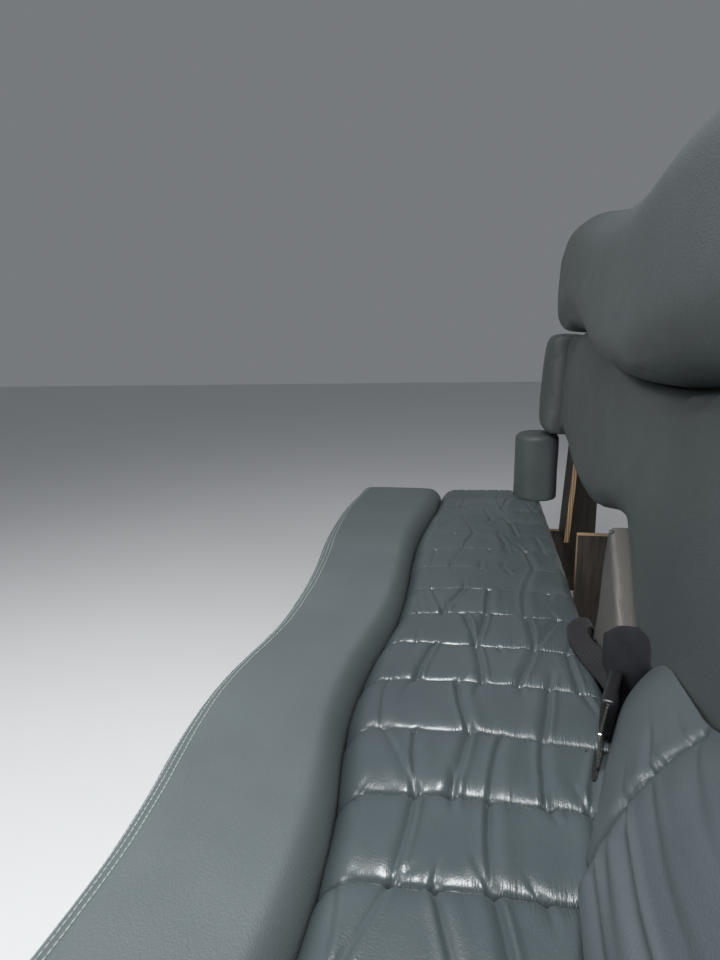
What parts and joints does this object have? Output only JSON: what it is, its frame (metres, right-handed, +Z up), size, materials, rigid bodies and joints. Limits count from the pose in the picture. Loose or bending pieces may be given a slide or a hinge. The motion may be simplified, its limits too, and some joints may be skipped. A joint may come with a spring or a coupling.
{
  "type": "upholstered side bench seat for a stretched sport utility vehicle cabin",
  "caption": "Long side bench seat with a wavy front bolster, ruched channelled cushion, padded back open at the foot, lap belt, plywood frame and courtesy lamps.",
  "frame": {"origin": "on the floor, under the middle of the bench's box", "axes": "+X along the bench from its far end to its near end, the seat faces -Y, +Z up"},
  "size_m": [2.15, 0.6782, 0.9392],
  "materials": {
    "bolster_leather": "pebbled slate leather",
    "channel_leather": "ruched glossy slate leather",
    "back_leather": "smooth slate leather",
    "roll_leather": "gathered slate leather",
    "ledge_leather": "dark leather cloth",
    "carpet": "cut pile carpet",
    "plywood": "black-stained faces, raw edges",
    "bracket_steel": "zinc plated",
    "lamp_chrome": "polished",
    "lamp_lens": "frosted",
    "webbing": "woven belt webbing",
    "buckle_plastic": "fine grain",
    "belt_steel": "polished steel"
  },
  "bodies": {
    "root": {"back_board": "plywood", "bay_jamb": "back_leather", "belt_anchor_buckle": "bracket_steel", "belt_anchor_tongue": "bracket_steel", "belt_buckle": "buckle_plastic", "belt_strap_buckle": "webbing", "belt_strap_tongue": "webbing", "belt_tongue": "belt_steel", "channel_cushion": "channel_leather", "corner_pad": "back_leather", "corner_roll": "back_leather", "deck": "plywood", "fascia": "carpet", "floor_bracket_1": "bracket_steel", "floor_bracket_2": "bracket_steel", "floor_bracket_3": "bracket_steel", "floor_bracket_4": "bracket_steel", "foot_roll": "roll_leather", "front_bolster": "bolster_leather", "lamp_lens_1": "lamp_lens", "lamp_lens_2": "lamp_lens", "lamp_lens_3": "lamp_lens", "lamp_lens_4": "lamp_lens", "ledge": "ledge_leather", "lower_back_pad": "back_leather", "rear_sill": "plywood", "rib_1": "plywood", "rib_2": "plywood", "rib_3": "plywood", "rib_4": "plywood", "rib_5": "plywood", "top_rail": "plywood", "upper_back_pad": "back_leather"}
  },
  "joints": []
}
